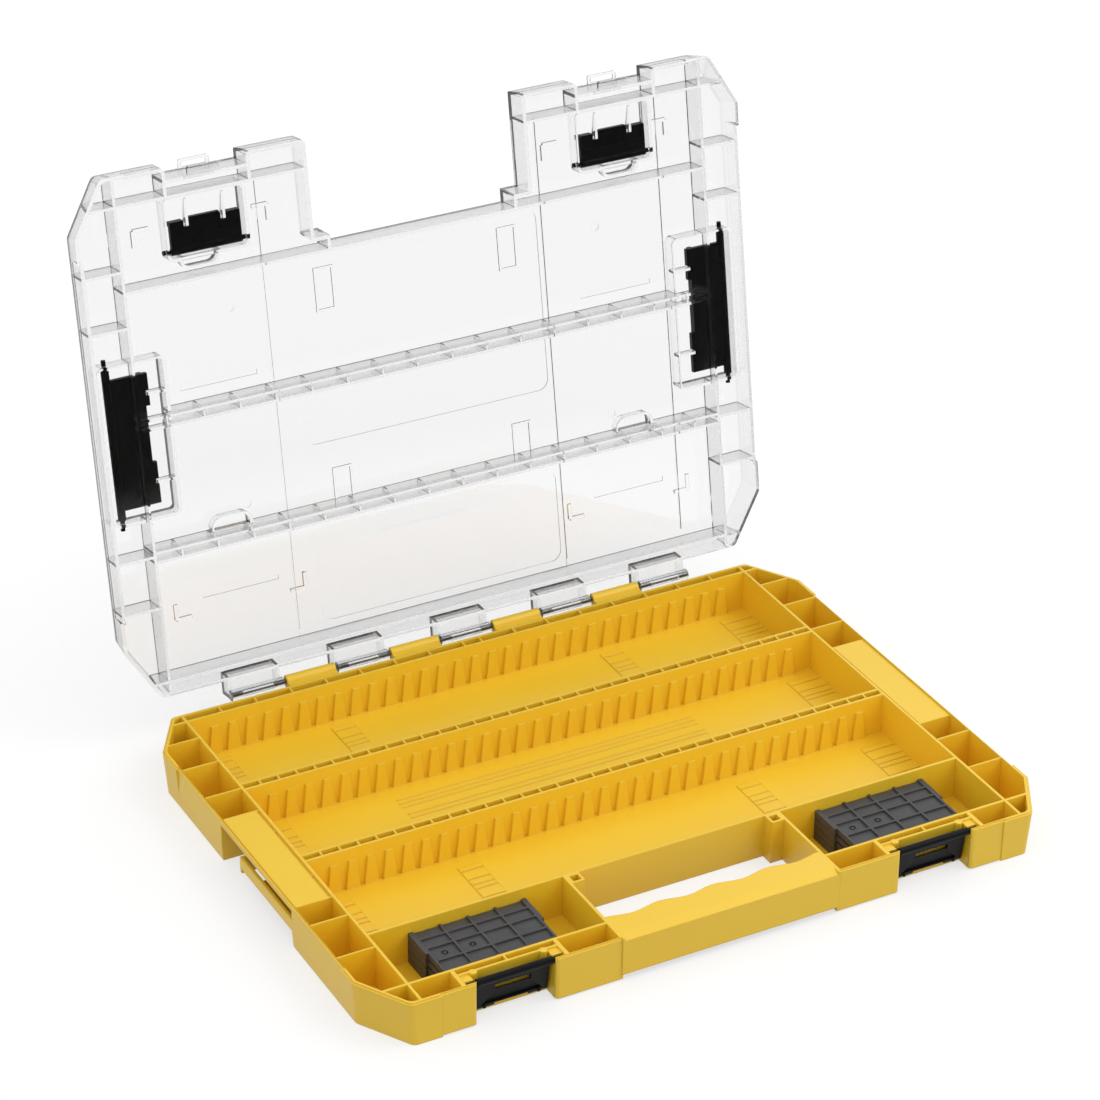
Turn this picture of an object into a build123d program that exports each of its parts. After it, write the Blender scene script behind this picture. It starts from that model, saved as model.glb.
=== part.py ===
from build123d import *
import math
import os

os.makedirs("parts", exist_ok=True)

# A flat compartment storage box, open as photographed: one moulded tray with a handle bar, a clear
# lid on a long hinge rod, two front latches, four lid connectors and two stacks of loose dividers.
# All sizes are in millimetres. The pieces are drawn with Y = 0 at the tray's front face, +Y towards
# the hinge, X = 0 in the middle and Z = 0 on the ground, then moved to the tray's centre at the end.

# Tray outline
tray_width = 375.0
tray_depth = 274.5
tray_height = 23.9
front_chamfer_x = 16.3
front_chamfer_y = 28.0
back_chamfer_x = 17.3
back_chamfer_y = 28.5
tray_side_draft = 1.9
tray_front_draft = 0.4
tray_back_draft = 1.0
corner_radius = 4.0
rim_width = 2.4
rim_step_height = 0.7
rim_step_width = 1.1

# Corner guards stand a little proud of the walls between them
guard_side_proud = 1.2
guard_front_proud = 0.8
guard_front_length = 33.0
guard_side_front_length = 40.0
guard_side_back_length = 45.5
block_lift = 0.6

# How far a piece runs into its neighbour, and how far a cut runs past a face
bite = 0.5
past = 1.0

# Tray walls and floor
floor_thickness = 1.6
wall = 1.5
side_pocket_width = 22.5
back_gap = 7.7
front_zone = 58.2
front_gap = 14.8
row_depth = 65.3
double_wall_gap = 5.0
web_thickness = 1.0
double_wall_web_pitch = 10.0
back_web_pitch = 20.0
back_web_first = 5.0
pocket_wall_from_back = (24.4, 48.4, 76.3)
pocket_wall_from_front = (47.9, 76.8)

# Comb ribs that hold the loose dividers upright, wider and deeper at the foot
comb_pitch = 10.0
comb_top_width = 4.2
comb_foot_width = 7.8
comb_top_depth = 1.2
comb_foot_depth = 1.6
comb_top_drop = 6.5
comb_end_margin = 3.0

# Raised pads with cross lines on the floor of each row
pad_height = 0.4
pad_line_width = 0.8
pad_line_steps = (28.0, 36.0, 39.7, 44.5, 52.0)
pad_depth_start = 25.0
pad_depth_end = 56.0
end_pad_width = 19.0
middle_pad_right_x = 71.0
middle_pad_left_x = 75.6
middle_pad_width = 12.5
long_pad_line_steps = (23.0, 26.5, 33.0, 36.5, 43.0, 46.5, 50.0)

# Handle bar and the hand slot behind it
handle_half_length = 60.0
handle_proud = 0.7
handle_depth = 17.8
handle_lift = 3.3
handle_wave = 1.2
handle_wave_length = 30.0
handle_wave_points = 8
handle_bevel_width = 4.6
handle_bevel_drop = 1.5
handle_bevel_end = 1.0
handle_shell = 2.2
handle_web_pitch = 24.0
handle_web_rise = 1.0
slot_side_wall = 1.6
slot_boss = 7.0
slot_boss_wall = 1.3

# Latch seats
latch_centre_x = 115.6
latch_opening = 41.0
latch_clearance = 0.8
latch_plate = 5.4
latch_cheek = 2.2
latch_corner_radius = 2.2
latch_axis_y = 3.2
latch_axis_below_rim = 2.3
latch_pin_radius = 1.3
latch_pin_clearance = 0.2
latch_pin_end_gap = 0.6
latch_bar_radius = 2.0
latch_body_inset = 0.5
latch_length = 17.4
latch_thickness = 2.0
latch_set_back_top = 0.2
latch_set_back_foot = 2.8
latch_window_width = 19.0
latch_window_clearance = 0.4
latch_window_room = 1.8
latch_scoop_half_top = 9.5
latch_scoop_half_foot = 16.0
latch_scoop_depth = 1.2
latch_ledge_height = 1.8
latch_foot_notch_half = 9.0
latch_foot_notch_height = 1.0
latch_nub_radius = 0.9
latch_nub_spread = 14.3
latch_nub_above_foot = 0.6
latch_nub_proud = 0.6
rail_y = 9.4
rail_thickness = 1.3
rail_lug_radius = 2.0
rail_lug_height = 7.0

# Side receivers: an open recess in each end of the tray with a bar that a connector hooks over
receiver_front_y = 95.6
receiver_length = 81.2
receiver_depth = 18.8
cover_plate_thickness = 2.2
cover_plate_drop = 0.9
cover_plate_inset = 0.2
cover_groove_width = 1.1
cover_groove_depth = 0.8
cover_groove_web = 1.0
cover_groove_web_steps = (19.4, 61.4)
receiver_bar_thickness = 1.8
receiver_bar_length = 59.4
receiver_bar_low = 9.4
receiver_bar_high = 15.7
receiver_arm_drop = 2.5
receiver_shelf_length = 42.0
receiver_shelf_thickness = 1.5
receiver_shelf_inset = 0.5

# Hinge: four tray barrels between five lid knuckles, the whole row a little to the right
hinge_axis_behind = 7.5
hinge_axis_below_rim = 2.1
hinge_shift = 1.9
hinge_pitch = 60.4
rod_radius = 1.3
rod_clearance = 0.1
barrel_count = 4
barrel_radius = 3.1
barrel_length = 28.0
barrel_notch = 7.0
flange_thickness = 2.6
flange_above_axis = 0.4
knuckle_radius = 3.0
knuckle_length = 29.4
knuckle_ring = 6.0
knuckle_cheek = 1.6
knuckle_skin = 1.8
knuckle_neck = 2.6
knuckle_height = 11.1
knuckle_hollow_above_axis = 1.0
knuckle_mouth_half = 1.1
lid_open_angle = 100.0

# Lid
lid_gap = 0.3
lid_height = 16.0
lid_side_draft = 1.8
lid_front_draft = 2.0
lid_back_draft = 1.8
lid_panel = 2.2
lid_wall = 1.8
lid_rib = 1.4
lid_rib_web_pitch = 20.0
notch_side_gap = 1.0
lid_latch_gap_inner = 93.5
lid_latch_gap_outer = 137.0
lid_latch_wall_y = 6.0
lid_block_step_x = 158.0
lid_corner_radius = 2.2
tongue_width = 17.0
tongue_tip_y = 2.4
tongue_thickness = 1.4
tongue_above_edge = 2.7
tongue_corner = 1.2

# Shallow features on the outer face of the lid
face_step = 0.5
mark_radius = 2.2
mark_depth = 0.3
mark_places = ((105.0, 82.0), (107.0, 187.0))
field_left = 85.0
field_right = 74.0
field_front_margin = 4.0
field_back_margin = 6.0
field_line_x = 145.0
field_line_width = 0.8
field_line_front_margin = 4.0
field_line_back_margin = 12.0
field_panel_half = 71.0
field_panel_front_margin = 7.0
field_panel_back = 164.7
field_panel_radius = 6.0
lower_panel_start = 210.0
lower_panel_end = 262.0
groove_half = 1.3
groove_length = 42.5
groove_inner_x = 93.5
groove_rows = (118.5, 231.0)
nest_x = (78.5, 151.5)
nest_y = (33.0, 241.0)
nest_arm = 8.5
nest_width = 2.0
nest_height = 1.4
foot_x0 = 47.0
foot_x1 = 58.0
foot_y_starts = (71.0, 179.0)
foot_length = 23.4
foot_line = 1.2
foot_height = 0.8

# Lid connectors: four black flaps in pockets that open to the lid's outer face
pocket_wall = 1.4
pocket_floor = 1.3
pocket_depth = 9.2
pocket_corner = 2.0
front_pocket_x0 = 94.8
front_pocket_x1 = 136.6
front_pocket_y0 = 18.0
front_pocket_y1 = 48.6
front_flap_pivot_y = 45.4
front_flap_free_y = 30.3
front_flap_gap = 1.9
front_flap_pin_reach = 2.6
side_pocket_x0 = 147.0
side_pocket_x1 = 181.2
side_pocket_y0 = 97.2
side_pocket_y1 = 179.4
side_flap_pivot_x = 177.0
side_flap_free_x = 155.4
side_flap_gap = 1.6
side_flap_arm = 5.0
side_flap_pin_reach = 4.2
flap_thickness = 2.6
flap_pivot_radius = 2.1
flap_pin_radius = 1.2
flap_pin_clearance = 0.1
pin_hole_reach = 3.0
flap_pivot_above_floor = 2.6
flap_hook_height = 1.6
flap_hook_width = 2.4
flap_notch_width = 3.0
flap_notch_depth = 3.5
flap_notch_inset = 9.0
flap_panel_depth = 0.6
flap_tab_half = 8.0
flap_tab_reach = 1.2
small_panel_inset = 2.0
small_panel_width = 6.0
small_panel_near = 4.5
small_panel_far = 7.5
middle_panel_inset = 11.5
middle_panel_near = 1.5
middle_panel_far = 8.0
guide_thickness = 1.4
guide_height = 4.6
guide_low_height = 0.8
guide_start = 1.0
guide_end_gap = 0.8
side_guide_end_gap = 0.6
side_notch_depth = 1.6
side_notch_front = 10.5
side_notch_back = 11.5
side_step_depth = 2.2
side_step_front = 17.0
side_step_back = 22.0
disc_radius = 4.6
disc_line = 0.5
disc_depth = 0.5
disc_inset = 3.5
disc_front = 5.5
disc_back = 7.5
scoop_width = 19.0
scoop_reach = 5.0
scoop_shift = 4.0
scoop_rounding = 0.7
loop_x0 = 108.0
loop_x1 = 128.0
loop_reach = 6.5
scoop_depth = 6.0

# Loose dividers, lying in two stacks
dividers_per_stack = 4
divider_length = 60.0
divider_width = 35.0
divider_height = 3.9
divider_gap = 0.3
divider_under = 0.9
divider_web = 1.9
divider_rib = 1.2
divider_columns = 4
divider_row_lines = (7.0, 14.8, 25.5)
divider_tab_length = 18.6
divider_tab_reach = 1.4
divider_wall_gap = 0.45

# Places that follow from the sizes above
half = tray_width / 2
end_wall_x = half - side_pocket_width
back_wall_y = tray_depth - back_gap
divider_wall_ys = []
for step in range(2):
    rear_wall_y = back_wall_y - (step + 1) * row_depth - step * double_wall_gap
    divider_wall_ys.append((rear_wall_y - double_wall_gap, rear_wall_y))
hinge_y = tray_depth + hinge_axis_behind
hinge_z = tray_height - hinge_axis_below_rim
hinge_axis = Axis((0, hinge_y, hinge_z), (1, 0, 0))
front_clear = -guard_front_proud - past
lid_bottom = tray_height + lid_gap
lid_top = tray_height + lid_height
panel_underside = lid_top - lid_panel
pocket_floor_z = lid_top - pocket_depth
flap_pivot_z = pocket_floor_z + flap_pivot_above_floor
latch_axis_z = tray_height - latch_axis_below_rim
latch_x0 = latch_centre_x - latch_opening / 2
latch_x1 = latch_centre_x + latch_opening / 2
slot_half = handle_half_length - slot_side_wall / 2
slot_front_wall_y = front_zone - wall / 2
compartment_centre_x = (slot_half + slot_side_wall + end_wall_x - wall / 2) / 2
stack_rear_y = front_zone - wall / 2 - divider_wall_gap
receiver_back_y = receiver_front_y + receiver_length
to_centre = Pos(0, -tray_depth / 2, 0)


def rect(x0, x1, y0, y1):
    # A rectangle in plan between two X and two Y places.
    return Pos((x0 + x1) / 2, (y0 + y1) / 2) * Rectangle(x1 - x0, y1 - y0)


def slab(x0, x1, y0, y1, z0, z1):
    # A block between two places on each axis.
    return Pos((x0 + x1) / 2, (y0 + y1) / 2, (z0 + z1) / 2) * Box(x1 - x0, y1 - y0, z1 - z0)


def raise_plan(plan, z0, z1):
    # A plan drawing raised to a solid between two heights.
    return extrude(Pos(0, 0, z0) * plan, amount=z1 - z0, dir=(0, 0, 1))


def profile_x(profile, x0, x1):
    # A side profile drawn in (Y, Z), pulled along X.
    return extrude(Plane.YZ.offset(x0) * profile, amount=x1 - x0, dir=(1, 0, 0))


def along_x(points, x0, x1):
    # A side profile given by its corner points, pulled along X.
    return profile_x(Polygon(*points, align=None), x0, x1)


def rod_x(radius, x0, x1, y, z):
    # A round bar along X.
    return Pos((x0 + x1) / 2, y, z) * Rot(0, 90, 0) * Cylinder(radius, x1 - x0)


def rod_y(radius, y0, y1, x, z):
    # A round bar along Y.
    return Pos(x, (y0 + y1) / 2, z) * Rot(90, 0, 0) * Cylinder(radius, y1 - y0)


def both_sides(shapes):
    # Each shape and its mirror image on the other side of the box.
    return [copy for shape in shapes for copy in (shape, mirror(shape, about=Plane.YZ))]


def outline(front_y, half_width=half, back_y=tray_depth, inset=0.0):
    # The box in plan, with its four cut corners rounded.
    points = [
        (-half_width + front_chamfer_x, front_y),
        (half_width - front_chamfer_x, front_y),
        (half_width, front_y + front_chamfer_y),
        (half_width, back_y - back_chamfer_y),
        (half_width - back_chamfer_x, back_y),
        (-half_width + back_chamfer_x, back_y),
        (-half_width, back_y - back_chamfer_y),
        (-half_width, front_y + front_chamfer_y),
    ]
    shape = Polygon(*points, align=None)
    if inset:
        shape = offset(shape, amount=-inset, kind=Kind.INTERSECTION)
    return fillet(shape.vertices(), corner_radius)


def drafted(z_wide, z_narrow, side, front, back, inset=0.0):
    # The box's outer form, full size at one height and drawn in at the other.
    wide = Pos(0, 0, z_wide) * outline(-guard_front_proud, inset=inset)
    narrow = outline(-guard_front_proud + front, half - side, tray_depth - back, inset)
    return loft([wide, Pos(0, 0, z_narrow) * narrow], ruled=True)


def guarded_outline():
    # The outline with the walls between the corner guards set back.
    back_y = tray_depth - guard_side_back_length
    sides = rect(half - guard_side_proud, half + past, guard_side_front_length, back_y)
    guard_x = half - guard_front_length
    front = rect(-guard_x, guard_x, front_clear, 0)
    return outline(-guard_front_proud) - both_sides([sides]) - front


def web_places(first, pitch, limit):
    # Evenly spaced places on the positive side, for features that are mirrored.
    return [first + pitch * k for k in range(int((limit - first) // pitch) + 1)]


def row_limits():
    # Front and back faces of the three long rows, from the hinge to the front.
    rear_faces = [back_wall_y] + [front for front, rear in divider_wall_ys]
    front_faces = [rear for front, rear in divider_wall_ys] + [front_zone]
    return [(front + wall / 2, rear - wall / 2) for front, rear in zip(front_faces, rear_faces)]


def tray_walls(inside):
    # Plan of every full-height wall inside the rim.
    walls = [rect(-end_wall_x, end_wall_x, front_zone - wall / 2, front_zone + wall / 2)]
    walls.append(rect(-half, half, back_wall_y - wall / 2, back_wall_y + wall / 2))
    for front, rear in divider_wall_ys:
        walls.append(rect(-end_wall_x, end_wall_x, front - wall / 2, front + wall / 2))
        walls.append(rect(-end_wall_x, end_wall_x, rear - wall / 2, rear + wall / 2))
        for x in web_places(double_wall_web_pitch / 2, double_wall_web_pitch, end_wall_x):
            walls += both_sides([rect(x - web_thickness / 2, x + web_thickness / 2, front, rear)])
    for x in web_places(back_web_first, back_web_pitch, end_wall_x):
        rear = tray_depth - rim_width + bite
        walls += both_sides([rect(x - web_thickness / 2, x + web_thickness / 2, back_wall_y, rear)])
    end_wall = rect(end_wall_x - wall / 2, end_wall_x + wall / 2, bite, tray_depth - bite)
    front_wall = rect(handle_half_length, half, front_gap - wall / 2, front_gap + wall / 2)
    slot_side = rect(slot_half, slot_half + slot_side_wall, 0, front_zone)
    walls += both_sides([end_wall, front_wall, slot_side])
    cross_ys = [tray_depth - place for place in pocket_wall_from_back]
    cross_ys += list(pocket_wall_from_front)
    for y in cross_ys:
        walls += both_sides([rect(end_wall_x, half, y - web_thickness / 2, y + web_thickness / 2)])
    inner_cheek = rect(latch_x0 - latch_plate - latch_cheek, latch_x0 - latch_plate, 0, front_gap)
    outer_cheek = rect(latch_x1 + latch_plate, latch_x1 + latch_plate + latch_cheek, 0, front_gap)
    walls += both_sides([inner_cheek, outer_cheek])
    boss = rect(slot_half - slot_boss, slot_half, slot_front_wall_y - slot_boss, slot_front_wall_y)
    boss_bore = offset(boss, amount=-slot_boss_wall)
    walls += both_sides([boss])
    return (Sketch() + walls & inside) - both_sides([boss_bore])


def comb_ribs():
    # Short upright wedges on both long walls of every row, with narrow slots left between their feet.
    low = floor_thickness / 2
    top = tray_height - comb_top_drop
    foot = rect(-comb_foot_width / 2, comb_foot_width / 2, -wall / 2, comb_foot_depth)
    head = rect(-comb_top_width / 2, comb_top_width / 2, -wall / 2, comb_top_depth)
    rib = loft([Pos(0, 0, low) * foot, Pos(0, 0, top) * head], ruled=True)
    facing_rib = Rot(0, 0, 180) * rib
    places = web_places(comb_pitch, comb_pitch, end_wall_x - comb_end_margin - comb_foot_width / 2)
    ribs = []
    for front, rear in row_limits():
        for x in [-place for place in places] + [0.0] + places:
            ribs += [Pos(x, front) * rib, Pos(x, rear) * facing_rib]
    return ribs


def floor_pads():
    # Raised pads with grooves across them, at the ends and near the middle of the rows.
    z0 = floor_thickness / 2
    z1 = floor_thickness + pad_height
    pads = []
    for number, (front, rear) in enumerate(row_limits()):
        y0 = front + pad_depth_start
        y1 = front + pad_depth_end
        grooves = [(front + step - pad_line_width / 2, front + step + pad_line_width / 2)
                   for step in pad_line_steps]
        end_x = end_wall_x - wall / 2
        strips = [(end_x - end_pad_width, end_x), (-end_x, -end_x + end_pad_width)]
        left_x = -middle_pad_left_x - middle_pad_width
        right_x = middle_pad_right_x + middle_pad_width
        if number != 1:
            strips += [(left_x, -middle_pad_left_x), (middle_pad_right_x, right_x)]
        for x0, x1 in strips:
            pad = slab(x0, x1, y0, y1, z0, z1)
            edge = pad_line_width / 2
            pads.append(pad - [slab(x0 + edge, x1 - edge, g0, g1, floor_thickness, z1 + past)
                               for g0, g1 in grooves])
        if number == 1:
            for step in long_pad_line_steps:
                line_y = front + step
                pads.append(slab(left_x, right_x, line_y, line_y + pad_line_width, z0, z1))
    return pads


def handle_bar():
    # The handle: a bar with a waved grip edge, a bevelled top and a ribbed hollow underside.
    count = int(2 * handle_half_length * handle_wave_points / handle_wave_length)
    grip = []
    for k in range(count + 1):
        x = -handle_half_length + 2 * handle_half_length * k / count
        grip.append((x, handle_depth + handle_wave * math.cos(2 * math.pi * x / handle_wave_length)))
    front_left = (-handle_half_length, -handle_proud)
    front_right = (handle_half_length, -handle_proud)
    edge = Spline(*grip)
    sides = Polyline(grip[-1], front_right, front_left, grip[0])
    plan = make_face(edge + sides)
    bar = raise_plan(plan, handle_lift, tray_height)
    bevel = [
        (-handle_proud - past, tray_height + past),
        (-handle_proud - past, tray_height - handle_bevel_drop),
        (-handle_proud, tray_height - handle_bevel_drop),
        (-handle_proud + handle_bevel_width, tray_height),
        (-handle_proud + handle_bevel_width, tray_height + past),
    ]
    bevel_half = handle_half_length - handle_bevel_end
    bar -= along_x(bevel, -bevel_half, bevel_half)
    inner_y0 = -handle_proud + handle_shell
    inner_y1 = handle_depth - handle_wave - handle_shell
    hollow_top = tray_height - handle_bevel_drop - handle_shell
    reach = handle_half_length - handle_shell
    bar -= slab(-reach, reach, inner_y0, inner_y1, handle_lift - past, hollow_top)
    webs = []
    for x in [0.0] + web_places(handle_web_pitch, handle_web_pitch, reach):
        web = slab(x - web_thickness / 2, x + web_thickness / 2, inner_y0 - bite, inner_y1 + bite,
                   handle_lift + handle_web_rise, hollow_top + bite)
        webs += [web] if x == 0 else both_sides([web])
    return bar + webs


def latch_seat():
    # What stands behind and beside the right-hand latch: pin seats, rail and rail lugs.
    seat_top = latch_axis_z - latch_pin_radius - latch_pin_clearance
    slot_rear = latch_axis_y + latch_pin_radius + latch_pin_clearance
    hook_top = latch_axis_z + latch_pin_radius
    pieces = []
    for x0, x1 in ((latch_x0 - latch_plate - bite, latch_x0), (latch_x1, latch_x1 + latch_plate + bite)):
        pieces.append(slab(x0, x1, rim_width - bite, rail_y + bite, block_lift, seat_top))
        pieces.append(slab(x0, x1, slot_rear, rail_y + bite, seat_top - bite, hook_top))
    x0 = latch_x0 - latch_plate - bite
    x1 = latch_x1 + latch_plate + bite
    pieces.append(slab(x0, x1, rail_y, rail_y + rail_thickness, block_lift, tray_height))
    pieces.append(slab(latch_centre_x - web_thickness / 2, latch_centre_x + web_thickness / 2,
                       rail_y + bite, front_gap, floor_thickness - bite, tray_height))
    for x in (latch_x0 + rail_lug_radius, latch_x1 - rail_lug_radius):
        pieces.append(Pos(x, rail_y, tray_height - rail_lug_height / 2)
                      * Cylinder(rail_lug_radius, rail_lug_height))
    return pieces


def side_receiver(tray):
    # Opens the right-hand recess, then adds its cover plate, bar and shelf.
    inner_x = half - receiver_depth
    face_x = half - guard_side_proud
    plate_top = tray_height - cover_plate_drop
    plate_low = plate_top - cover_plate_thickness
    pocket = slab(end_wall_x + wall / 2, half - rim_width, receiver_front_y, receiver_back_y,
                  floor_thickness, tray_height + past)
    pocket += slab(inner_x, half + past, receiver_front_y, receiver_back_y, -past, plate_low)
    end_walls = [slab(end_wall_x, face_x, receiver_front_y - wall, receiver_front_y, 0, plate_top)]
    end_walls.append(slab(end_wall_x, face_x, receiver_back_y, receiver_back_y + wall, 0, plate_top))
    tray = tray - both_sides([pocket])
    inner_wall = slab(end_wall_x, inner_x, receiver_front_y, receiver_back_y, 0, plate_low + bite)
    plate = slab(end_wall_x, face_x - cover_plate_inset, receiver_front_y - bite,
                 receiver_back_y + bite, plate_low, plate_top)
    groove_x = end_wall_x + wall / 2
    plate -= slab(groove_x, groove_x + cover_groove_width, receiver_front_y, receiver_back_y,
                  plate_top - cover_groove_depth, plate_top + past)
    webs = []
    for step in cover_groove_web_steps:
        y = receiver_front_y + step
        webs.append(slab(groove_x - bite, groove_x + cover_groove_width + bite,
                         y - cover_groove_web / 2, y + cover_groove_web / 2,
                         plate_low + bite, plate_top))
    bar_y1 = receiver_front_y + receiver_bar_length
    bar_x0 = face_x - receiver_bar_thickness
    bar = slab(bar_x0, face_x, receiver_front_y - bite, bar_y1, receiver_bar_low, receiver_bar_high)
    arm = slab(inner_x - bite, face_x, bar_y1 - receiver_bar_thickness, bar_y1,
               receiver_bar_low - receiver_arm_drop, receiver_bar_high)
    shelf = slab(inner_x - bite, face_x - receiver_shelf_inset, receiver_front_y - bite,
                 receiver_front_y + receiver_shelf_length,
                 receiver_bar_low, receiver_bar_low + receiver_shelf_thickness)
    return tray + both_sides(end_walls + [inner_wall, plate, bar, arm, shelf] + webs)


def hinge_centres(count):
    # Evenly spaced places along the rod for a number of barrels or knuckles.
    return [hinge_shift + hinge_pitch * (k - (count - 1) / 2) for k in range(count)]


def hinge_barrels():
    # Barrels on flanges along the back wall, each bored for the rod.
    pieces = []
    bores = []
    flange_top = hinge_z + flange_above_axis
    notch_y0 = hinge_y + barrel_radius / 2
    notch_y1 = hinge_y + barrel_radius + past
    notch_top = hinge_z + barrel_radius + past
    for x in hinge_centres(barrel_count):
        x0 = x - barrel_length / 2
        x1 = x + barrel_length / 2
        barrel = rod_x(barrel_radius, x0, x1, hinge_y, hinge_z)
        flange = slab(x0, x1, tray_depth - bite, hinge_y, flange_top - flange_thickness, flange_top)
        ends = [slab(x0 - past, x0 + barrel_notch, notch_y0, notch_y1, hinge_z, notch_top)]
        ends.append(slab(x1 - barrel_notch, x1 + past, notch_y0, notch_y1, hinge_z, notch_top))
        pieces.append(barrel + flange - ends)
        bores.append(rod_x(rod_radius + rod_clearance, x0 - past, x1 + past, hinge_y, hinge_z))
    return pieces, bores


def cheek_corners():
    # Plan of what rounds off the two front corners beside the right-hand latch.
    radius = latch_corner_radius
    cuts = Sketch()
    for edge_x, centre_x in ((latch_x0, latch_x0 - radius), (latch_x1, latch_x1 + radius)):
        corner = rect(min(edge_x, centre_x), max(edge_x, centre_x), front_clear, radius)
        cuts += corner - Pos(centre_x, radius) * Circle(radius)
    return cuts


def make_tray():
    # The whole tray is one moulding: floor, rim, walls, ribs, handle, latch seats and barrels.
    plan = guarded_outline()
    inside = outline(-guard_front_proud, inset=rim_width)
    floor = raise_plan(plan, 0, floor_thickness)
    rim = raise_plan(plan - inside, 0, tray_height)
    wall_plan = tray_walls(plan)
    tray = floor + rim + raise_plan(wall_plan, floor_thickness / 2, tray_height)
    tray = side_receiver(tray)
    tray += comb_ribs() + floor_pads()
    slot = slab(-slot_half, slot_half, front_clear, slot_front_wall_y, -past, tray_height + past)
    boss_zone = rect(-slot_half, slot_half, front_gap + wall, slot_front_wall_y)
    tray = tray - slot + raise_plan(wall_plan & boss_zone, 0, tray_height)
    opening = slab(latch_x0, latch_x1, front_clear, front_gap - wall, floor_thickness,
                   tray_height + past)
    opening += slab(latch_x0, latch_x1, front_clear, rail_y + bite, -past, floor_thickness + past)
    opening += raise_plan(cheek_corners(), -past, tray_height + past)
    seam_x = half - guard_front_length
    lift = slab(slot_half, seam_x, front_clear, front_gap - wall, -past, block_lift)
    step_plan = plan - offset(plan, amount=-rim_step_width)
    step = raise_plan(step_plan, tray_height - rim_step_height, tray_height + past)
    tray = tray - both_sides([opening, lift]) - step
    tray += both_sides(latch_seat())
    tray = tray & drafted(tray_height, 0, tray_side_draft, tray_front_draft, tray_back_draft)
    barrels, bores = hinge_barrels()
    return tray + handle_bar() + barrels - bores


def make_rod():
    # One steel rod through every barrel and knuckle of the hinge.
    reach = (barrel_count * hinge_pitch + knuckle_length) / 2
    return rod_x(rod_radius, hinge_shift - reach, hinge_shift + reach, hinge_y, hinge_z)


def make_latch():
    # The right-hand latch as it hangs: a bar with pins, a window for the tongue and a finger scoop.
    x0 = latch_x0 + latch_clearance
    x1 = latch_x1 - latch_clearance
    axis_y = latch_axis_y
    axis_z = latch_axis_z
    foot_z = axis_z - latch_length
    front_top = (axis_y + latch_set_back_top, axis_z)
    front_foot = (axis_y + latch_set_back_foot, foot_z)
    slope = (latch_set_back_foot - latch_set_back_top) / latch_length
    plate = [front_top, front_foot, (front_foot[0] + latch_thickness, foot_z),
             (front_top[0] + latch_thickness, axis_z)]
    latch = rod_x(latch_bar_radius, x0, x1, axis_y, axis_z)
    pin_reach = latch_plate - latch_pin_end_gap
    latch += rod_x(latch_pin_radius, x0 - pin_reach, x1 + pin_reach, axis_y, axis_z)
    latch += along_x(plate, x0 + latch_body_inset, x1 - latch_body_inset)
    tongue_low = lid_bottom + tongue_above_edge - axis_z
    window_high = axis_z - tongue_low + latch_window_clearance
    window_low = axis_z - tongue_low - tongue_thickness - latch_window_room
    window_half = latch_window_width / 2
    back_y = front_foot[0] + latch_thickness + past
    latch -= slab(latch_centre_x - window_half, latch_centre_x + window_half, axis_y, back_y,
                  window_low, window_high)
    scoop_low = foot_z + latch_ledge_height
    scoop = [(latch_centre_x - latch_scoop_half_top, window_low),
             (latch_centre_x - latch_scoop_half_foot, scoop_low),
             (latch_centre_x + latch_scoop_half_foot, scoop_low),
             (latch_centre_x + latch_scoop_half_top, window_low)]
    scoop_face = Plane.XZ.offset(-axis_y) * Polygon(*scoop, align=None)
    scoop_cut = extrude(scoop_face, amount=back_y - axis_y, dir=(0, 1, 0))
    front_layer = [(axis_y - past, foot_z), (axis_y - past, axis_z),
                   (front_top[0] + latch_scoop_depth, axis_z),
                   (front_foot[0] + latch_scoop_depth, foot_z)]
    latch -= scoop_cut & along_x(front_layer, x0, x1)
    latch -= slab(latch_centre_x - latch_foot_notch_half, latch_centre_x + latch_foot_notch_half,
                  axis_y, back_y, foot_z - past, foot_z + latch_foot_notch_height)
    nub_z = foot_z + latch_nub_above_foot
    nub_y = front_foot[0] - slope * latch_nub_above_foot
    nubs = [rod_y(latch_nub_radius, nub_y - latch_nub_proud, nub_y + latch_thickness,
                  latch_centre_x + side, nub_z) for side in (-latch_nub_spread, latch_nub_spread)]
    return latch + nubs


def lid_outline():
    # Plan of the lid: the tray's outline less the handle notch and the two latch gaps.
    notch_half = handle_half_length + notch_side_gap
    boss_cover = rect(slot_half - slot_boss, notch_half, front_zone - slot_boss, front_zone)
    notch = rect(-notch_half, notch_half, front_clear, front_zone) - both_sides([boss_cover])
    gap = rect(lid_latch_gap_inner, lid_latch_gap_outer, front_clear, lid_latch_wall_y)
    back_y = tray_depth - guard_side_back_length
    side = rect(half - guard_side_proud, half + past, guard_side_front_length, back_y)
    block = rect(0, lid_block_step_x, front_clear, 0)
    plan = outline(-guard_front_proud) - [notch] - both_sides([gap, side, block])
    fronts = [corner for corner in plan.vertices()
              if abs(corner.Y) < bite and abs(corner.X) < lid_block_step_x - bite]
    return fillet(fronts, lid_corner_radius)


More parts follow.
